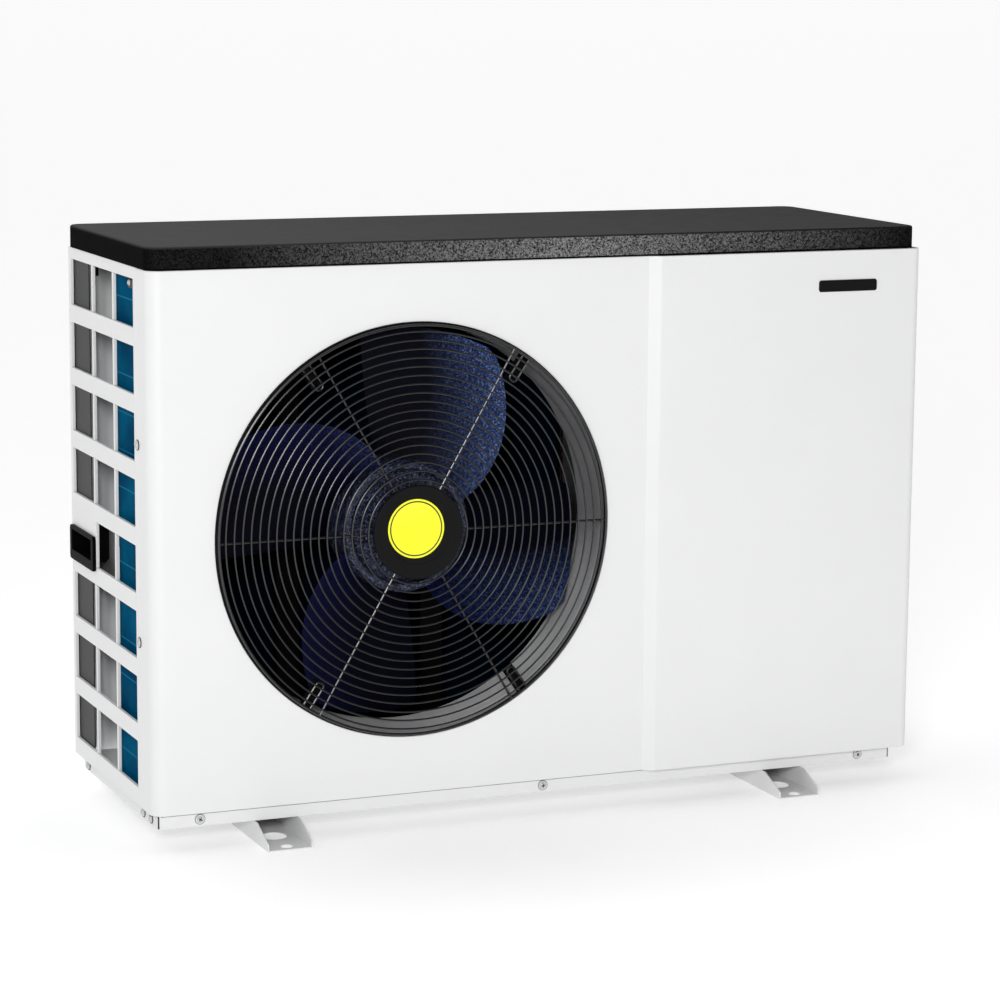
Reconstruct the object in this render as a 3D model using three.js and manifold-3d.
// Pool heat pump unit: a white sheet-metal case with an axial fan at the front left and the
// refrigeration and water parts behind the plain section at the front right.
//
// Frame of the export: X to the right along the front, Y to the back, Z up, millimetres. The origin
// is the centre of the footprint, on the ground. Everything below is laid out in the case's own
// frame and moved there at the end: x = 0 at the left side panel, y = 0 at the front face of the
// fan section, z = 0 at the bottom edge of the wall panels.

import * as THREE from 'three';
import { mergeVertices } from 'three/addons/utils/BufferGeometryUtils.js';
import Module from 'manifold-3d';

const wasm = await Module();
wasm.setup();

// ---- driving dimensions ----------------------------------------------------------------------

const CASE_W = 965;         // over the side panels
const CASE_D = 328;         // from the fan section's face to the back
const PANEL_H = 616;        // wall panels
const LID_H = 26;           // side of the top cover
const SKIRT_H = 16;         // edge of the base pan that shows below the wall panels
const FOOT_H = 25;          // foot channels
const FOOT_REACH = 43;      // how far the feet stand out past the case, front and back
const SHEET = 1.2;          // steel sheet of the panels
const GAP = 0.3;            // clearance between pieces that rest on each other

const STEP_X = 606;         // where the fan section ends and the bevel starts
const STEP_W = 13;          // width of the bevel
const STEP_D = 8;           // how far the service section stands forward
const CORNER_R = 17;        // front left bend
const RIGHT_R = 10;         // front right bend
const LEFT_SEAM_Y = 50;     // front panel's left return ends here
const RIGHT_SEAM_Y = 24;    // front panel's right return ends here

const FAN_X = 316;          // fan axis
const FAN_Z = 308.5;
const HOLE_R = 241;         // outlet hole in the front panel
const HOLE_SIDES = 36;
const RING_PITCH = 10;      // guard rings
const RING_FIRST_R = 60.5;
const RING_COUNT = 18;
const RING_Y = -6;          // the rings lie in front of the panel
const CAP_R = 54.8;         // disc at the middle of the guard
const HUB_R = 78;
const TIP_R = 228;
const BLADE_COUNT = 4;

const PAN_X0 = 7;           // base pan, inset from the wall panels
const PAN_X1 = CASE_W - 19;
const PAN_Y0 = 5;
const PAN_Y1 = CASE_D - 14;
const PAN_TOP = 4;          // its deck stands above the panels' bottom edge
const PAN_T = 1.5;
const FOOT_W = 54;
const FOOT_XS = [148, 797]; // centres of the two feet

const GRILLE_T = 4;         // depth of the grille panel's bars
const ROW_TOP = 602.3;      // top edge of the first row of openings
const ROW_PITCH = 75.2;
const ROW_H = 54.4;
const ROW_COUNT = 8;
const HANDLE_ROW = 4;       // this row ends ahead of the handle
const HANDLE_ROW_Y1 = 222;
const SLOT_Y0 = 58.6;
const SLOT_Y1 = 319.3;
const BAR_YS = [145.3, 232];
const BAR_W = 5;

const HANDLE_PROUD = 4;
const HANDLE_Y = [222.5, 324.5];
const HANDLE_Z = [241.8, 283.3];
const HANDLE_DEPTH = 20;
const POCKET_Z = [251.8, 304];     // the pocket reaches up behind the panel

const COIL_T = 38;          // finned coil
const COIL_FACE_X = 9;      // outer face of its left leg
const COIL_BEND_Y = 150;    // where the left leg starts to bend
const COIL_BEND_R = 146;    // outer radius of the bend
const COIL_TOP = 600;
const COIL_X1 = 607;
const PARTITION_X = 611;

const PIPE_Y = 235;         // water pipes
const INLET_Z = 110;
const OUTLET_Z = 400;
const PIPE_R = 25;
const PIPE_BORE = 21;
const UNION_REACH = 70;     // water connections stand out of the right side by this much
const TANK_X = 820;         // heat exchanger axis
const TANK_R = 75;

const GAUGE_Y = 205;
const GAUGE_Z = 520;
const CONTROL_Y = [35, 145];
const CONTROL_Z = [470, 560];
const CONTROL_T = 12;
const KEY_YS = [62, 90, 118];
const KEY_Z = 488;
const KEY_R = 4.5;

const DRAIN_X = 480;        // drain in the pan's deck
const DRAIN_Y = 160;
const DRAIN_BORE = 6.5;
const POST_X = 4.6;         // rear left post
const POST_END_X = 26;
const SERVICE_RETURN = 30;  // right side panel's return along the back
const SHAFT_R = 7;
const MOTOR_Y0 = 112;
const MOTOR_Y1 = 185;
const HEADER_X = 628;       // upright copper header of the coil
const HEADER_Y = 277;
const COMPRESSOR = [683, 180, 0];
const MOUNT_TOP = 18;
const ACCUMULATOR = [775, 110, 0];
const VALVE = [705, 185, 375];
const LIQUID_Y = 306;
const LIQUID_Z = 150;
const THREAD_R = 29.2;
const SWITCH_X = 935;
const EBOX = { x: [640, 930], y: [2, 76], z: [402, 592] };
const GAUGE_BODY_R = 28;
const GLAND_Y = 90;
const GLAND_Z = 60;
const GLAND_THREAD_R = 9;
const HINGE_X = CASE_W + CONTROL_T - 4;   // controller cover's hinge
const HINGE_Z = CONTROL_Z[1] + 4;

const COLORS = {
  white: [0xe9eaeb, 0.42, 0.0],
  black: [0x0d0d0e, 0.45, 0.0],
  gloss: [0x08080a, 0.15, 0.0],
  navy: [0x16204a, 0.4, 0.0],
  zinc: [0x9a9da1, 0.4, 0.8],
  dark: [0x3a3b3d, 0.5, 0.3],
  fins: [0x0b5f92, 0.4, 0.5],
  copper: [0xb4663a, 0.35, 0.9],
  brass: [0xb08d45, 0.35, 0.9],
  titanium: [0x8a8785, 0.35, 0.9],
  steel: [0x8d9196, 0.35, 0.9],
  pvc: [0x4a4d52, 0.5, 0.0],
  rubber: [0x17171a, 0.8, 0.0],
  board: [0x1f5a34, 0.5, 0.0],
  smoke: [0x2a2d31, 0.15, 0.0],
  key: [0x4d5257, 0.6, 0.0],
};

// ---- solids ----------------------------------------------------------------------------------

function volumeOf(points, triangles) {
  let sum = 0;
  const a = new THREE.Vector3();
  const b = new THREE.Vector3();
  const c = new THREE.Vector3();
  for (let i = 0; i < triangles.length; i += 3) {
    a.fromArray(points, 3 * triangles[i]);
    b.fromArray(points, 3 * triangles[i + 1]);
    c.fromArray(points, 3 * triangles[i + 2]);
    sum += a.dot(b.cross(c)) / 6;
  }
  return sum;
}

// A closed geometry as a solid whose faces point out.
function solid(geometry) {
  const bare = geometry.clone();
  bare.deleteAttribute('normal');
  bare.deleteAttribute('uv');
  const merged = mergeVertices(bare, 1e-3);
  const points = new Float32Array(merged.attributes.position.array);
  const index = merged.index.array;
  const triangles = [];
  for (let i = 0; i < index.length; i += 3) {
    const [a, b, c] = [index[i], index[i + 1], index[i + 2]];
    if (a !== b && b !== c && c !== a) triangles.push(a, b, c);
  }
  if (volumeOf(points, triangles) < 0) triangles.reverse();
  return new wasm.Manifold(new wasm.Mesh({
    numProp: 3,
    vertProperties: points,
    triVerts: new Uint32Array(triangles),
  }));
}

function join(...solids) {
  return solids.reduce((sum, one) => sum.add(one));
}

function cut(body, ...tools) {
  return tools.reduce((rest, tool) => rest.subtract(tool), body);
}

function box(x0, x1, y0, y1, z0, z1) {
  const geometry = new THREE.BoxGeometry(x1 - x0, y1 - y0, z1 - z0);
  return solid(geometry.translate((x0 + x1) / 2, (y0 + y1) / 2, (z0 + z1) / 2));
}

const ALONG = {
  x: new THREE.Matrix4().makeRotationZ(-Math.PI / 2),
  y: new THREE.Matrix4(),
  z: new THREE.Matrix4().makeRotationX(Math.PI / 2),
};

// A rod along an axis, from a to b on it, with its centre line at (x, y, z) otherwise.
function rod(axis, r, a, b, [x, y, z], sides = 20) {
  const geometry = new THREE.CylinderGeometry(r, r, b - a, sides);
  geometry.translate(0, (a + b) / 2, 0).applyMatrix4(ALONG[axis]);
  return solid(geometry.translate(x, y, z));
}

// A turned solid: profile points are [radius, distance along the axis].
function turned(axis, profile, [x, y, z], sides = 20) {
  const points = profile.map(([r, t]) => new THREE.Vector2(r, t));
  const geometry = new THREE.LatheGeometry(points, sides).applyMatrix4(ALONG[axis]);
  return solid(geometry.translate(x, y, z));
}

// A ring has a profile that closes on itself.
function ring(axis, profile, place, sides = 20) {
  return turned(axis, [...profile, profile[0]], place, sides);
}

// Outlines are extruded along Z, or along X or Y with the outline in the plane across it.
const PLANES = {
  z: new THREE.Matrix4(),
  y: new THREE.Matrix4().makeRotationX(Math.PI / 2),
  x: new THREE.Matrix4().makeBasis(
    new THREE.Vector3(0, 1, 0), new THREE.Vector3(0, 0, 1), new THREE.Vector3(1, 0, 0)),
};

function prism(axis, outline, a, b, steps = 2) {
  const settings = { depth: b - a, bevelEnabled: false, curveSegments: steps };
  const geometry = new THREE.ExtrudeGeometry(outline, settings).applyMatrix4(PLANES[axis]);
  const shift = { x: [a, 0, 0], y: [0, b, 0], z: [0, 0, a] }[axis];
  return solid(geometry.translate(...shift));
}

function roundedRect(x0, x1, y0, y1, r) {
  const shape = new THREE.Shape();
  shape.moveTo(x0 + r, y0).lineTo(x1 - r, y0);
  shape.absarc(x1 - r, y0 + r, r, -Math.PI / 2, 0);
  shape.lineTo(x1, y1 - r).absarc(x1 - r, y1 - r, r, 0, Math.PI / 2);
  shape.lineTo(x0 + r, y1).absarc(x0 + r, y1 - r, r, Math.PI / 2, Math.PI);
  shape.lineTo(x0, y0 + r).absarc(x0 + r, y0 + r, r, Math.PI, 1.5 * Math.PI);
  return shape;
}

function rect(x0, x1, y0, y1) {
  return new THREE.Shape([[x0, y0], [x1, y0], [x1, y1], [x0, y1]].map((p) => new THREE.Vector2(...p)));
}

// Points of an arc from angle a to angle b, in degrees.
function arc(cx, cy, r, a, b, steps) {
  return Array.from({ length: steps + 1 }, (_, i) => {
    const t = THREE.MathUtils.degToRad(a + ((b - a) * i) / steps);
    return [cx + r * Math.cos(t), cy + r * Math.sin(t)];
  });
}

// The outline of a folded strip: the path is its right-hand side, and it is t thick to the left.
function strip(path, t) {
  const outer = path.map((p) => new THREE.Vector2(...p));
  const normals = outer.slice(1).map((p, i) => {
    const along = p.clone().sub(outer[i]).normalize();
    return new THREE.Vector2(-along.y, along.x);
  });
  const inner = outer.map((p, i) => {
    const before = normals[Math.max(i - 1, 0)];
    const after = normals[Math.min(i, normals.length - 1)];
    const mitre = before.clone().add(after).normalize();
    return p.clone().addScaledVector(mitre, t / mitre.dot(after));
  });
  return new THREE.Shape([...outer, ...inner.reverse()]);
}

// A pipe with straight runs between the points and a rounded bend at each inner point.
function pipe(points, r, bend = 16, sides = 6) {
  const corners = points.map((p) => new THREE.Vector3(...p));
  const path = new THREE.CurvePath();
  let from = corners[0];
  for (let i = 1; i < corners.length - 1; i += 1) {
    const reach = Math.min(
      bend, corners[i].distanceTo(corners[i - 1]) / 2, corners[i].distanceTo(corners[i + 1]) / 2);
    const towards = (p) => corners[i].clone().add(p.clone().sub(corners[i]).setLength(reach));
    const [before, after] = [towards(corners[i - 1]), towards(corners[i + 1])];
    if (from.distanceTo(before) > 0.01) path.add(new THREE.LineCurve3(from, before));
    path.add(new THREE.QuadraticBezierCurve3(before, corners[i], after));
    from = after;
  }
  path.add(new THREE.LineCurve3(from, corners[corners.length - 1]));
  const outline = arc(0, 0, r, 0, 360, sides).slice(0, -1).map((p) => new THREE.Vector2(...p));
  const steps = Math.ceil(path.getLength() / 14);
  return solid(new THREE.ExtrudeGeometry(new THREE.Shape(outline), { steps, extrudePath: path, bevelEnabled: false }));
}

const assembly = new THREE.Group();

function add(name, body, color) {
  const mesh = body.getMesh();
  const geometry = new THREE.BufferGeometry();
  geometry.setAttribute('position', new THREE.BufferAttribute(new Float32Array(mesh.vertProperties), 3));
  geometry.setIndex(new THREE.BufferAttribute(new Uint32Array(mesh.triVerts), 1));
  geometry.computeVertexNormals();
  const [hex, roughness, metalness] = COLORS[color];
  const material = new THREE.MeshStandardMaterial({ color: hex, roughness, metalness });
  const piece = new THREE.Mesh(geometry, material);
  piece.name = name;
  assembly.add(piece);
}

// ---- base and feet ---------------------------------------------------------------------------

// The pan's deck stands on two pressed channels, one over each foot, and has a skirt all round.
function basePan() {
  const low = -SKIRT_H;
  const half = FOOT_W / 2 + 3;
  const folds = FOOT_XS.flatMap((x) => [
    [x - half, PAN_TOP], [x - half, low + PAN_T], [x + half, low + PAN_T], [x + half, PAN_TOP]]);
  const path = [[PAN_X0, low], [PAN_X0, PAN_TOP], ...folds, [PAN_X1, PAN_TOP], [PAN_X1, low]];
  const sheet = prism('y', strip(path.reverse(), PAN_T), PAN_Y0, PAN_Y1);
  const skirts = [[PAN_Y0, PAN_Y0 + PAN_T], [PAN_Y1 - PAN_T, PAN_Y1]].map(
    ([y0, y1]) => box(PAN_X0, PAN_X1, y0, y1, low, PAN_TOP));
  const drain = rod('z', DRAIN_BORE, low, PAN_TOP + 1, [DRAIN_X, DRAIN_Y, 0]);
  return cut(join(sheet, ...skirts), drain);
}

function drainSpout() {
  const top = PAN_TOP - PAN_T - GAP;
  const profile = [[DRAIN_BORE, -32], [9, -32], [9, top - 2], [15, top - 2], [15, top], [DRAIN_BORE, top]];
  return ring('z', profile, [DRAIN_X, DRAIN_Y, 0]);
}

// A foot is an open channel with sloping ends and two holes near each end.
function foot(x) {
  const wall = 1.8;
  const top = -SKIRT_H - GAP;
  const low = -SKIRT_H - FOOT_H;
  const front = -FOOT_REACH;
  const back = CASE_D + FOOT_REACH;
  const side = new THREE.Shape([
    [front, low], [back, low], [back, low + 9], [back - 40, top], [front + 40, top], [front, low + 9],
  ].map((p) => new THREE.Vector2(...p)));
  const half = FOOT_W / 2;
  const body = prism('x', side, x - half, x + half);
  const inside = box(x - half + wall, x + half - wall, front - 1, back + 1, low + wall, top + 1);
  const holes = [[16, 15], [-30, 7]].flatMap(([y, r]) => [y, CASE_D - y].map(
    (place) => rod('z', r, low - 1, low + wall + 1, [x, place, 0], 16)));
  return cut(body, inside, ...holes);
}

// ---- case ------------------------------------------------------------------------------------

// One sheet: left return, bend, fan section, bevel, service section, bend, right return.
function frontPanel() {
  const face = -STEP_D;
  const path = [
    [0, LEFT_SEAM_Y],
    ...arc(CORNER_R, CORNER_R, CORNER_R, 180, 270, 5),
    [STEP_X, 0],
    [STEP_X + STEP_W, face],
    ...arc(CASE_W - RIGHT_R, face + RIGHT_R, RIGHT_R, 270, 360, 4),
    [CASE_W, RIGHT_SEAM_Y],
  ];
  const hole = rod('y', HOLE_R, -1, SHEET + 1, [FAN_X, 0, FAN_Z], HOLE_SIDES);
  return cut(prism('z', strip(path, SHEET), 0, PANEL_H), hole);
}

// Wide slots with two upright bars set back behind their face.
function leftGrillePanel() {
  const outline = rect(LEFT_SEAM_Y + GAP, CASE_D, 0, PANEL_H);
  for (let row = 0; row < ROW_COUNT; row += 1) {
    const top = ROW_TOP - row * ROW_PITCH;
    const end = row === HANDLE_ROW ? HANDLE_ROW_Y1 : SLOT_Y1;
    outline.holes.push(rect(SLOT_Y0, end, top - ROW_H, top));
  }
  const plate = prism('x', outline, 0, GRILLE_T);
  const low = ROW_TOP - ROW_COUNT * ROW_PITCH;
  const bars = BAR_YS.map((y) => box(1.5, GRILLE_T + 1.5, y - BAR_W / 2, y + BAR_W / 2, low, ROW_TOP + 5));
  return cut(join(plate, ...bars), handleCut(0));
}

function rearLeftPost() {
  const path = [[POST_END_X, CASE_D], [POST_X, CASE_D], [POST_X, 256]];
  const sheet = prism('z', strip(path, SHEET), PAN_TOP + GAP, PANEL_H);
  return cut(sheet, box(0, 40, 200, CASE_D - 10, POCKET_Z[0] - 4, POCKET_Z[1] + 4));
}

function rightSidePanel() {
  const r = 6;
  const path = [
    [CASE_W, RIGHT_SEAM_Y + GAP],
    ...arc(CASE_W - r, CASE_D - r, r, 0, 90, 3),
    [CASE_W - SERVICE_RETURN, CASE_D],
  ];
  const sheet = prism('z', strip(path, SHEET), 0, PANEL_H);
  const bore = (r1, y, z, sides = 24) => rod('x', r1, CASE_W - 10, CASE_W + 10, [0, y, z], sides);
  return cut(
    sheet,
    bore(PIPE_R + 1.5, PIPE_Y, INLET_Z),
    bore(PIPE_R + 1.5, PIPE_Y, OUTLET_Z),
    bore(GAUGE_BODY_R + 1, GAUGE_Y, GAUGE_Z),
    bore(GLAND_THREAD_R + 0.6, GLAND_Y, GLAND_Z, 16),
    handleCut(CASE_W - 10),
  );
}

function rearServicePanel() {
  const x0 = PARTITION_X + 1;
  const x1 = CASE_W - SERVICE_RETURN - GAP;
  const louvres = Array.from({ length: 6 }, (_, i) => {
    const z = PANEL_H - 80 - i * 16;
    return box(x0 + 60, x1 - 60, CASE_D - 5, CASE_D + 5, z - 5, z);
  });
  return cut(box(x0, x1, CASE_D - SHEET, CASE_D, 0, PANEL_H), ...louvres);
}

// The back of the coil is behind a punched sheet with the same rows as the left grille.
function rearCoilGuard() {
  const x0 = POST_END_X + GAP;
  const x1 = PARTITION_X + 1 - GAP;
  const columns = 5;
  const first = x0 + 38;
  const rib = 9;
  const pitch = (x1 - 14 - first + rib) / columns;
  const openings = [];
  for (let row = 0; row < ROW_COUNT; row += 1) {
    const top = ROW_TOP - row * ROW_PITCH;
    for (let column = 0; column < columns; column += 1) {
      const x = first + column * pitch;
      openings.push(box(x, x + pitch - rib, CASE_D - 5, CASE_D + 5, top - ROW_H, top));
    }
  }
  return cut(box(x0, x1, CASE_D - SHEET, CASE_D, 0, PANEL_H), ...openings);
}

// An inverted tray that sits on the wall panels, level with the left side and inset at the right.
function topCover() {
  const wall = 2.5;
  const bevel = 2;
  const low = PANEL_H + GAP;
  const [x0, x1, y0, y1] = [-1, CASE_W - 4, -3, CASE_D + 1];
  const inset = roundedRect(x0 + bevel, x1 - bevel, y0 + bevel, y1 - bevel, CORNER_R - bevel);
  const settings = {
    depth: LID_H, bevelEnabled: true, bevelSize: bevel, bevelThickness: bevel, bevelSegments: 2, curveSegments: 5,
  };
  const block = solid(new THREE.ExtrudeGeometry(inset, settings).translate(0, 0, low - bevel));
  const below = box(x0 - 1, x1 + 1, y0 - 1, y1 + 1, low - 2 * bevel - 1, low);
  const hollow = roundedRect(x0 + wall, x1 - wall, y0 + wall, y1 - wall, CORNER_R - wall);
  return cut(block, below, prism('z', hollow, low - 1, low + LID_H - wall, 5));
}

// ---- handles ---------------------------------------------------------------------------------

// The opening in a side panel that a handle's cup goes through.
function handleCut(x0) {
  return box(x0 - 5, x0 + 20, HANDLE_Y[0] + 7, HANDLE_Y[1] - 7, HANDLE_Z[0] + 2, HANDLE_Z[1] - 2);
}

// A plate on the panel, a pocket that reaches up behind it for the fingers, and a flange on the
// pocket's floor. The right one is the left one's mirror image.
function handle(mirrored) {
  const wall = 2;
  const plate = prism('x', roundedRect(...HANDLE_Y, ...HANDLE_Z, 5), -HANDLE_PROUD, -GAP);
  const [low, high] = POCKET_Z;
  const mouth = HANDLE_Z[1] - 3;
  const behind = GRILLE_T + 2;
  const profile = (inset, x0, x1, r) => new THREE.Shape([
    [x0, low + inset],
    ...arc(x1 - r, low + inset + r, r, -90, 0, 4),
    [x1, high - inset], [behind + inset, high - inset], [behind + inset, mouth - inset], [x0, mouth - inset],
  ].map((p) => new THREE.Vector2(...p)));
  const [y0, y1] = [HANDLE_Y[0] + 8, HANDLE_Y[1] - 8];
  const pocket = prism('y', profile(0, -GAP - 1, HANDLE_DEPTH, 10), y0, y1);
  const flange = box(HANDLE_DEPTH - wall, HANDLE_DEPTH, y0 - 22, y1 + 4, low - 24, high);
  const fingers = prism(
    'y', profile(wall, -HANDLE_PROUD - 1, HANDLE_DEPTH - wall, 8), y0 + wall, y1 - wall);
  const body = cut(join(plate, pocket, flange), fingers);
  return mirrored ? body.mirror([1, 0, 0]).translate([CASE_W, 0, 0]) : body;
}

// ---- fan -------------------------------------------------------------------------------------

// The guard is one welded piece: rings in front, six spokes behind them, a rim and an inner ring.
function fanGuard() {
  const place = [FAN_X, 0, FAN_Z];
  const wire = (r, y, size) => ring(
    'y', [[r - size, y - size], [r, y + size], [r + size, y - size]], place, 18);
  const spokeY = RING_Y + 2;
  const rings = Array.from({ length: RING_COUNT }, (_, i) => wire(RING_FIRST_R + i * RING_PITCH, RING_Y, 1.1));
  const rimR = HOLE_R - 3.6;
  const spokes = Array.from({ length: 6 }, (_, i) => {
    const bar = new THREE.BoxGeometry(rimR - 46, 2.6, 2.6).translate((rimR + 46) / 2, spokeY, 0);
    bar.rotateY((i * Math.PI) / 3);
    return solid(bar.translate(FAN_X, 0, FAN_Z));
  });
  return join(...rings, wire(rimR, -3.2, 1.7), wire(48, spokeY, 1.6), ...spokes);
}

function guardCap() {
  const back = RING_Y + 0.2;
  const profile = [[0, back], [CAP_R, back], [CAP_R, back - 1.6], [CAP_R - 1.4, back - 3], [0, back - 3]];
  return turned('y', profile, [FAN_X, 0, FAN_Z], 24);
}

// A short duct with a flange behind the panel and four tabs that the guard is screwed to.
function fanShroud() {
  const t = 1.8;
  const lip = HOLE_R - 2.6;
  const profile = [
    [lip, -0.4], [HOLE_R - 0.5, -0.4], [HOLE_R - 0.5, SHEET + 0.4], [HOLE_R + 22, SHEET + 0.4],
    [HOLE_R + 22, SHEET + 0.4 + t], [lip + t, SHEET + 0.4 + t], [lip - 3 + t, 75], [lip - 3, 75],
  ];
  const duct = ring('y', profile, [FAN_X, 0, FAN_Z], HOLE_SIDES);
  const tabs = [55.5, 124.5, 235.5, 304.5].map((angle) => {
    const tab = new THREE.BoxGeometry(38, 2, 14).translate(lip - 15, 6, 0);
    tab.rotateY(THREE.MathUtils.degToRad(-angle));
    return solid(tab.translate(FAN_X, 0, FAN_Z));
  });
  return join(duct, ...tabs);
}

// A blade is a thin slab bent to the fan's sweep: u runs along the chord, v along the radius.
function blade(turn) {
  const slab = new THREE.BoxGeometry(1, 1, 1, 5, 4, 1);
  const at = slab.attributes.position;
  for (let i = 0; i < at.count; i += 1) {
    const u = at.getX(i) + 0.5;
    const v = at.getY(i) + 0.5;
    const r = HUB_R - 3 + (TIP_R - HUB_R + 3) * v;
    const trailing = 20 + 41 * v ** 1.25;
    const leading = 104 - 5 * v;
    const angle = THREE.MathUtils.degToRad(turn + trailing + (leading - trailing) * u);
    const thick = 3.4 * (0.45 + 0.55 * Math.sin(Math.PI * u));
    const y = 37 + 52 * u + 5 * Math.sin(Math.PI * u) + at.getZ(i) * thick;
    at.setXYZ(i, r * Math.cos(angle), y, r * Math.sin(angle));
  }
  return solid(slab.translate(FAN_X, 0, FAN_Z));
}

function fanRotor() {
  const bore = SHAFT_R + 0.2;
  const profile = [
    [bore, 31], [HUB_R - 12, 31], [HUB_R, 36], [HUB_R, 84], [HUB_R - 4, 84], [HUB_R - 4, 41],
    [20, 41], [20, 84], [bore, 84],
  ];
  const hub = ring('y', profile, [FAN_X, 0, FAN_Z], 24);
  const blades = Array.from({ length: BLADE_COUNT }, (_, i) => blade((i * 360) / BLADE_COUNT));
  return join(hub, ...blades);
}

function fanNut() {
  const nut = rod('y', 12, 21.5, 31 - GAP, [FAN_X, 0, FAN_Z], 6);
  return cut(nut, rod('y', SHAFT_R + 0.2, 20, 32, [FAN_X, 0, FAN_Z], 16));
}

function motorShaft() {
  return rod('y', SHAFT_R, 18, MOTOR_Y0 + 20, [FAN_X, 0, FAN_Z], 16);
}

function fanMotor() {
  const profile = [
    [SHAFT_R + 0.3, 100], [18, 100], [18, 108], [50, MOTOR_Y0], [62, MOTOR_Y0 + 8], [62, MOTOR_Y1 - 10],
    [54, MOTOR_Y1], [0, MOTOR_Y1], [0, MOTOR_Y0 + 21], [SHAFT_R + 0.3, MOTOR_Y0 + 21],
  ];
  return ring('y', profile, [FAN_X, 0, FAN_Z], 20);
}

// Two upright rails with two cross bars that carry the motor.
function motorBracket() {
  const y0 = MOTOR_Y1 + GAP;
  const y1 = y0 + 18;
  const upright = (x) => cut(
    box(x - 14, x + 14, y0, y1, PAN_TOP + GAP, PANEL_H - 4),
    box(x - 12, x + 12, y0 + 2, y1 + 1, PAN_TOP, PANEL_H));
  const bar = (z) => box(FAN_X - 90, FAN_X + 90, y0, y0 + 2, z - 16, z + 16);
  return join(upright(FAN_X - 92), upright(FAN_X + 92), bar(FAN_Z - 32), bar(FAN_Z + 32));
}

// ---- coil ------------------------------------------------------------------------------------

// The finned coil runs along the left side and bends round to the back.
function evaporatorCoil() {
  const centreX = COIL_FACE_X + COIL_BEND_R;
  const path = [
    [COIL_X1, COIL_BEND_Y + COIL_BEND_R],
    ...arc(centreX, COIL_BEND_Y, COIL_BEND_R, 90, 180, 9),
    [COIL_FACE_X, 22],
  ];
  return prism('z', strip(path, COIL_T), PAN_TOP + GAP, COIL_TOP);
}

function coilPlateFront() {
  return box(COIL_FACE_X - 2, COIL_FACE_X + COIL_T + 2, 20, 22 - GAP, PAN_TOP + GAP, COIL_TOP);
}

function coilPlateRight() {
  const y = COIL_BEND_Y + COIL_BEND_R;
  return box(COIL_X1 + GAP, COIL_X1 + 1.8, y - COIL_T - 2, y + 2, PAN_TOP + GAP, COIL_TOP);
}

// The header stands on stubs from the coil's end plate.
function coilHeader() {
  const stubs = Array.from({ length: 6 }, (_, i) => rod(
    'x', 5, COIL_X1 + 1.8 + GAP, HEADER_X, [0, HEADER_Y, 90 + i * 84], 6));
  return join(rod('z', 9, 60, 540, [HEADER_X, HEADER_Y, 0], 12), ...stubs);
}

function partitionPlate() {
  const back = COIL_BEND_Y + COIL_BEND_R - COIL_T - 4;
  return box(PARTITION_X, PARTITION_X + SHEET, SHEET + 1, back, PAN_TOP + GAP, PANEL_H - 4);
}

// ---- refrigerant circuit -----------------------------------------------------------------------

function compressor() {
  const base = MOUNT_TOP + GAP;
  const profile = [
    [0, base], [68, base], [68, base + 3], [58, base + 3], [58, 268], [50, 280], [30, 288], [0, 291],
  ];
  return turned('z', profile, COMPRESSOR, 24);
}

function compressorMount(index) {
  const angle = THREE.MathUtils.degToRad(30 + index * 120);
  const place = [COMPRESSOR[0] + 55 * Math.cos(angle), COMPRESSOR[1] + 55 * Math.sin(angle), 0];
  const low = PAN_TOP + GAP;
  const profile = [[0, low], [10, low], [10, low + 4], [8, low + 6], [10, low + 8], [10, MOUNT_TOP], [0, MOUNT_TOP]];
  return turned('z', profile, place, 14);
}

function accumulator() {
  const low = PAN_TOP + GAP;
  const profile = [
    [0, low], [20, low], [20, low + 3], [6, low + 3], [6, 40], [28, 52], [28, 212], [6, 226], [6, 236], [0, 236],
  ];
  return turned('z', profile, ACCUMULATOR, 16);
}

// Reversing valve: a lying cylinder, one stub on top and three below.
function fourWayValve() {
  const [x, y, z] = VALVE;
  const stub = (dx, a, b) => rod('z', 7, z + a, z + b, [x + dx, y, 0], 12);
  return join(
    rod('x', 15, x - 45, x + 45, [0, y, z], 16),
    stub(0, 0, 32), stub(-26, -32, 0), stub(0, -32, 0), stub(26, -32, 0));
}

function dischargePipe() {
  const [x, y, z] = VALVE;
  const [riser, low, high] = [COMPRESSOR[0] - 34, 288.8, z + 84];
  return pipe([[riser, y, low], [riser, y, high], [x, y, high], [x, y, z + 32 + GAP]], 6, 26);
}

function suctionPipe() {
  const [x, y, z] = VALVE;
  const [ax, ay] = ACCUMULATOR;
  return pipe([[x, y, z - 32 - GAP], [x, y, 324], [ax, ay, 324], [ax, ay, 236 + GAP]], 6, 18);
}

function coilGasPipe() {
  const [x, y, z] = VALVE;
  const level = 322;
  return pipe([[x - 26, y, z - 32 - GAP], [x - 26, y, level], [x - 26, HEADER_Y, level],
    [HEADER_X + 9 + GAP, HEADER_Y, level]], 6, 18);
}

function exchangerGasPipe() {
  const [x, y, z] = [VALVE[0] + 26, VALVE[1], VALVE[2]];
  const distance = Math.hypot(TANK_X - x, PIPE_Y - y);
  const reach = 1 - (TANK_R + GAP) / distance;
  const level = 322;
  return pipe([[x, y, z - 32 - GAP], [x, y, level],
    [x + (TANK_X - x) * reach, y + (PIPE_Y - y) * reach, level]], 6, 10);
}

// The drier's right-hand stub ends at the exchanger, its left-hand one at the liquid pipe.
function filterDrier() {
  const profile = [[0, 668], [4, 668], [4, 680], [13, 690], [13, 738], [4, 748], [4, 773], [0, 773]];
  return turned('x', profile, [0, LIQUID_Y, LIQUID_Z], 14);
}

function liquidPipe() {
  return pipe([[668 - GAP, LIQUID_Y, LIQUID_Z], [HEADER_X, LIQUID_Y, LIQUID_Z],
    [HEADER_X, HEADER_Y + 9 + GAP, LIQUID_Z]], 4, 12);
}

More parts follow.
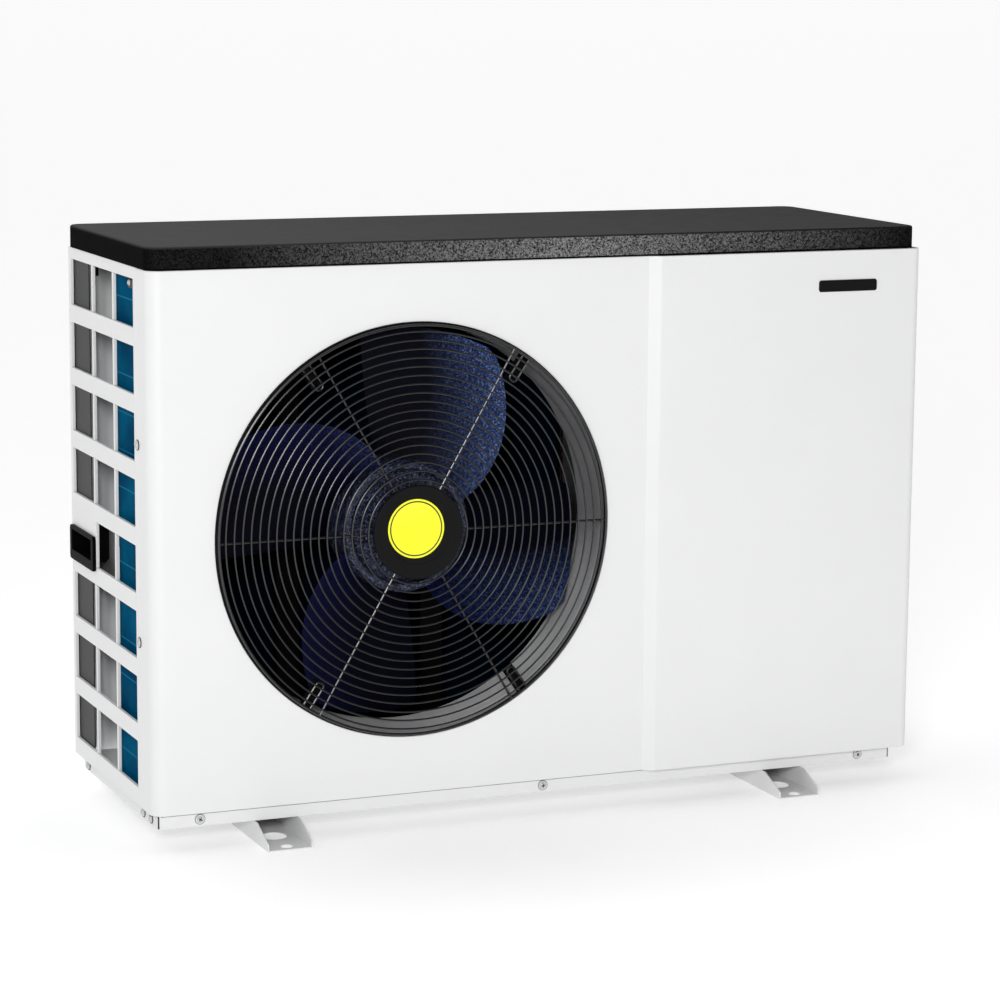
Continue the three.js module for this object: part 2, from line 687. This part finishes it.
// ---- water circuit -----------------------------------------------------------------------------

// A hollow shell with two nozzles on the right. The titanium tube is coiled inside it.
function exchangerShell() {
  const low = PAN_TOP + GAP;
  const wall = 5;
  const outer = turned('z', [[0, low], [60, low], [TANK_R, low + 16], [TANK_R, 440], [TANK_R - 18, 458],
    [0, 462]], [TANK_X, PIPE_Y, 0]);
  const inner = turned('z', [[0, low + 20], [TANK_R - wall, low + 22], [TANK_R - wall, 438], [0, 452]],
    [TANK_X, PIPE_Y, 0]);
  const nozzle = (r, z, a) => rod('x', r, TANK_X + a, TANK_X + TANK_R + 10, [0, PIPE_Y, z], 16);
  const bore = (z) => rod('x', PIPE_BORE, TANK_X, TANK_X + TANK_R + 11, [0, PIPE_Y, z], 16);
  const body = join(outer, nozzle(PIPE_R, INLET_Z, 50), nozzle(PIPE_R, OUTLET_Z, 50));
  return cut(body, inner, bore(INLET_Z), bore(OUTLET_Z));
}

function titaniumCoil() {
  const [turns, low, high, r] = [5, 60, 400, 52];
  const helix = new THREE.Curve();
  helix.getPoint = (t) => new THREE.Vector3(
    TANK_X + r * Math.cos(2 * Math.PI * turns * t),
    PIPE_Y + r * Math.sin(2 * Math.PI * turns * t),
    low + (high - low) * t);
  const outline = arc(0, 0, 6, 0, 360, 4).slice(0, -1).map((p) => new THREE.Vector2(...p));
  const settings = { steps: turns * 10, extrudePath: helix, bevelEnabled: false };
  return solid(new THREE.ExtrudeGeometry(new THREE.Shape(outline), settings));
}

// A water pipe from the shell's nozzle out through the side panel, with a collar and a thread.
function waterPipe(z, tapped) {
  const start = TANK_X + TANK_R + 10 + GAP;
  const profile = [
    [PIPE_BORE, start], [PIPE_R, start], [PIPE_R, CASE_W + GAP], [34, CASE_W + GAP], [34, CASE_W + 5],
    [THREAD_R, CASE_W + 5], [THREAD_R, CASE_W + 24], [PIPE_BORE, CASE_W + 24],
  ];
  const body = ring('x', profile, [0, PIPE_Y, z]);
  return tapped ? cut(body, rod('z', 6, z + 10, z + PIPE_R + 5, [SWITCH_X, PIPE_Y, 0], 10)) : body;
}

// A union nut: lobed outside for the hand, with a lip that holds the adapter's collar.
function unionNut(z) {
  const lobes = 8;
  const outline = new THREE.Shape(Array.from({ length: lobes * 4 }, (_, i) => {
    const angle = (i * Math.PI) / (lobes * 2);
    const r = i % 4 < 2 ? 40 : 37;
    return new THREE.Vector2(PIPE_Y + r * Math.cos(angle), z + r * Math.sin(angle));
  }));
  const [a, b] = [CASE_W + 10, CASE_W + 34];
  const bore = rod('x', 30.8, a - 1, b - 3, [0, PIPE_Y, z]);
  return cut(prism('x', outline, a, b), bore, rod('x', 27, a, b + 1, [0, PIPE_Y, z]));
}

// A glued pipe socket with a collar behind the nut's lip.
function pipeAdapter(z) {
  const end = CASE_W + UNION_REACH;
  const profile = [
    [PIPE_BORE, CASE_W + 24 + GAP], [29.6, CASE_W + 24 + GAP], [29.6, CASE_W + 30], [26, CASE_W + 30],
    [26, CASE_W + 36], [29, CASE_W + 39], [29, end], [25.1, end], [25.1, CASE_W + 40], [PIPE_BORE, CASE_W + 38],
  ];
  return ring('x', profile, [0, PIPE_Y, z]);
}

function flowSwitch() {
  const low = INLET_Z + PIPE_R + GAP;
  return join(
    rod('z', 12, low, low + 16, [SWITCH_X, PIPE_Y, 0], 6),
    prism('z', roundedRect(SWITCH_X - 16, SWITCH_X + 16, PIPE_Y - 20, PIPE_Y + 20, 4), low + 15, low + 48));
}

// The paddle hangs in the inlet pipe and swings with the water.
function flowPaddle() {
  const top = INLET_Z + 17;
  const blade = box(SWITCH_X - 0.8, SWITCH_X + 0.8, PIPE_Y - 7, PIPE_Y + 7, INLET_Z - 15, top);
  return join(blade, rod('y', 2, PIPE_Y - 7, PIPE_Y + 7, [SWITCH_X, 0, top], 10));
}

// ---- electrical parts ----------------------------------------------------------------------------

function electricalBox() {
  const t = 1.5;
  const { x, y, z } = EBOX;
  return cut(box(...x, ...y, ...z), box(x[0] + t, x[1] - t, y[0] - 1, y[1] - t, z[0] + t, z[1] - t));
}

function controlBoard() {
  const y = EBOX.y[1] - 8;
  const part = (x, w, z, h, d) => box(x, x + w, y - d, y + 0.1, z, z + h);
  return join(
    box(652, 822, y, y + 1.6, 418, 576),
    part(664, 28, 540, 22, 18), part(700, 28, 540, 22, 18), part(736, 28, 540, 22, 18),
    part(668, 44, 440, 40, 26), part(736, 60, 450, 10, 14), part(738, 20, 490, 26, 6));
}

function terminalBlock() {
  const [y0, y1] = [EBOX.y[1] - 26, EBOX.y[1] - 1.5 - GAP];
  const base = box(842, 922, y0, y1, 414, 440);
  const ways = Array.from({ length: 5 }, (_, i) => box(846 + i * 15, 857 + i * 15, y0 - 1, y0 + 8, 418, 436));
  return cut(base, ...ways);
}

function runCapacitor() {
  const profile = [[0, 470], [21, 470], [22, 472], [22, 552], [20, 556], [6, 556], [6, 562], [0, 562]];
  return turned('z', profile, [882, EBOX.y[1] - 26, 0], 20);
}

// ---- fittings on the right side --------------------------------------------------------------------

// Round gauge: a body through the panel, a bezel outside and a sunk dial.
function pressureGauge() {
  const x = CASE_W;
  const profile = [
    [0, x - 24], [GAUGE_BODY_R, x - 24], [GAUGE_BODY_R, x + GAP], [34, x + GAP], [34, x + 7], [31, x + 9],
    [30, x + 9], [30, x + 2], [0, x + 2],
  ];
  return turned('x', profile, [0, GAUGE_Y, GAUGE_Z], 24);
}

// The needle points down to the left of the dial at rest.
function gaugeNeedle() {
  const x = CASE_W + 3;
  const pointer = new THREE.BoxGeometry(0.8, 1.6, 30).translate(0, 0, 7);
  pointer.rotateX(THREE.MathUtils.degToRad(-135));
  const hub = rod('x', 3, x, x + 2.4, [0, GAUGE_Y, GAUGE_Z], 12);
  return join(solid(pointer.translate(x + 1, GAUGE_Y, GAUGE_Z)), hub);
}

function controllerHousing() {
  const x0 = CASE_W + GAP;
  const x1 = CASE_W + CONTROL_T;
  const body = prism('x', roundedRect(...CONTROL_Y, ...CONTROL_Z, 6), x0, x1);
  const window = box(x1 - 1.5, x1 + 1, CONTROL_Y[0] + 14, CONTROL_Y[1] - 14, CONTROL_Z[0] + 32, CONTROL_Z[1] - 10);
  const wells = KEY_YS.map((y) => rod('x', KEY_R + 0.4, x1 - 6, x1 + 1, [0, y, KEY_Z], 16));
  const lugs = [[CONTROL_Y[0] + 6, CONTROL_Y[0] + 10], [CONTROL_Y[1] - 10, CONTROL_Y[1] - 6]].map(
    ([y0, y1]) => box(x0, x1, y0, y1, CONTROL_Z[1] - 2, CONTROL_Z[1] + 8));
  return cut(join(body, ...lugs), window, ...wells);
}

function controllerKey(y) {
  const x1 = CASE_W + CONTROL_T;
  const profile = [[0, x1 - 4.5], [KEY_R, x1 - 4.5], [KEY_R, x1 + 1], [KEY_R - 0.8, x1 + 1.6], [0, x1 + 1.6]];
  return turned('x', profile, [0, y, KEY_Z], 16);
}

// A hinged cover over the display and keys: a shallow tray with a barrel between the lugs.
function controllerCover() {
  const x0 = CASE_W + CONTROL_T + GAP;
  const x1 = CASE_W + CONTROL_T + 6;
  const tray = prism('x', roundedRect(...CONTROL_Y, CONTROL_Z[0], CONTROL_Z[1] - 3, 6), x0, x1);
  const inside = prism(
    'x', roundedRect(CONTROL_Y[0] + 2, CONTROL_Y[1] - 2, CONTROL_Z[0] + 2, CONTROL_Z[1] - 5, 4), x0 - 1, x1 - 1.8);
  const [b0, b1] = [CONTROL_Y[0] + 11, CONTROL_Y[1] - 11];
  const barrel = rod('y', 2.6, b0, b1, [HINGE_X, 0, HINGE_Z], 12);
  const arm = box(HINGE_X, x1, b0, b1, HINGE_Z - 1.4, HINGE_Z + 1.4);
  const web = box(x1 - 1.8, x1, b0, b1, CONTROL_Z[1] - 6, HINGE_Z + 1.4);
  return join(cut(tray, inside), barrel, arm, web);
}

function cableGland() {
  const x = CASE_W;
  const body = join(
    rod('x', GLAND_THREAD_R, x - 10, x + 4, [0, GLAND_Y, GLAND_Z], 16),
    rod('x', 13, x + GAP, x + 8, [0, GLAND_Y, GLAND_Z], 6),
    turned('x', [[0, x + 7], [11, x + 7], [11, x + 16], [8, x + 22], [0, x + 22]], [0, GLAND_Y, GLAND_Z], 16));
  return cut(body, rod('x', 5, x - 11, x + 23, [0, GLAND_Y, GLAND_Z], 12));
}

// ---- assembly ----------------------------------------------------------------------------------

add('base_pan', basePan(), 'white');
add('drain_spout', drainSpout(), 'black');
add('foot_left', foot(FOOT_XS[0]), 'white');
add('foot_right', foot(FOOT_XS[1]), 'white');
add('front_panel', frontPanel(), 'white');
add('left_grille_panel', leftGrillePanel(), 'white');
add('right_side_panel', rightSidePanel(), 'white');
add('rear_left_post', rearLeftPost(), 'dark');
add('rear_service_panel', rearServicePanel(), 'white');
add('rear_coil_guard', rearCoilGuard(), 'white');
add('top_cover', topCover(), 'black');
add('handle_left', handle(false), 'gloss');
add('handle_right', handle(true), 'gloss');

add('fan_guard', fanGuard(), 'black');
add('guard_cap', guardCap(), 'black');
add('fan_shroud', fanShroud(), 'gloss');
add('fan_rotor', fanRotor(), 'navy');
add('fan_nut', fanNut(), 'zinc');
add('motor_shaft', motorShaft(), 'steel');
add('fan_motor', fanMotor(), 'steel');
add('motor_bracket', motorBracket(), 'zinc');

add('evaporator_coil', evaporatorCoil(), 'fins');
add('coil_plate_front', coilPlateFront(), 'zinc');
add('coil_plate_right', coilPlateRight(), 'zinc');
add('coil_header', coilHeader(), 'copper');
add('partition_plate', partitionPlate(), 'zinc');

add('compressor', compressor(), 'black');
for (let i = 0; i < 3; i += 1) add(`compressor_mount_${i + 1}`, compressorMount(i), 'rubber');
add('accumulator', accumulator(), 'black');
add('four_way_valve', fourWayValve(), 'brass');
add('discharge_pipe', dischargePipe(), 'copper');
add('suction_pipe', suctionPipe(), 'copper');
add('coil_gas_pipe', coilGasPipe(), 'copper');
add('exchanger_gas_pipe', exchangerGasPipe(), 'copper');
add('filter_drier', filterDrier(), 'brass');
add('liquid_pipe', liquidPipe(), 'copper');

add('exchanger_shell', exchangerShell(), 'pvc');
add('titanium_coil', titaniumCoil(), 'titanium');
add('water_inlet_pipe', waterPipe(INLET_Z, true), 'pvc');
add('water_outlet_pipe', waterPipe(OUTLET_Z, false), 'pvc');
add('inlet_union_nut', unionNut(INLET_Z), 'black');
add('outlet_union_nut', unionNut(OUTLET_Z), 'black');
add('inlet_adapter', pipeAdapter(INLET_Z), 'pvc');
add('outlet_adapter', pipeAdapter(OUTLET_Z), 'pvc');
add('flow_switch', flowSwitch(), 'black');
add('flow_paddle', flowPaddle(), 'titanium');

add('electrical_box', electricalBox(), 'zinc');
add('control_board', controlBoard(), 'board');
add('terminal_block', terminalBlock(), 'pvc');
add('run_capacitor', runCapacitor(), 'steel');

add('pressure_gauge', pressureGauge(), 'steel');
add('gauge_needle', gaugeNeedle(), 'black');
add('controller_housing', controllerHousing(), 'pvc');
add('controller_cover', controllerCover(), 'smoke');
KEY_YS.forEach((y, i) => add(`controller_key_${i + 1}`, controllerKey(y), 'key'));
add('cable_gland', cableGland(), 'black');

const middleX = (CASE_W + UNION_REACH - HANDLE_PROUD) / 2;
assembly.position.set(-middleX, -CASE_D / 2, SKIRT_H + FOOT_H);

const part = new THREE.Group();
part.add(assembly);

export default part;
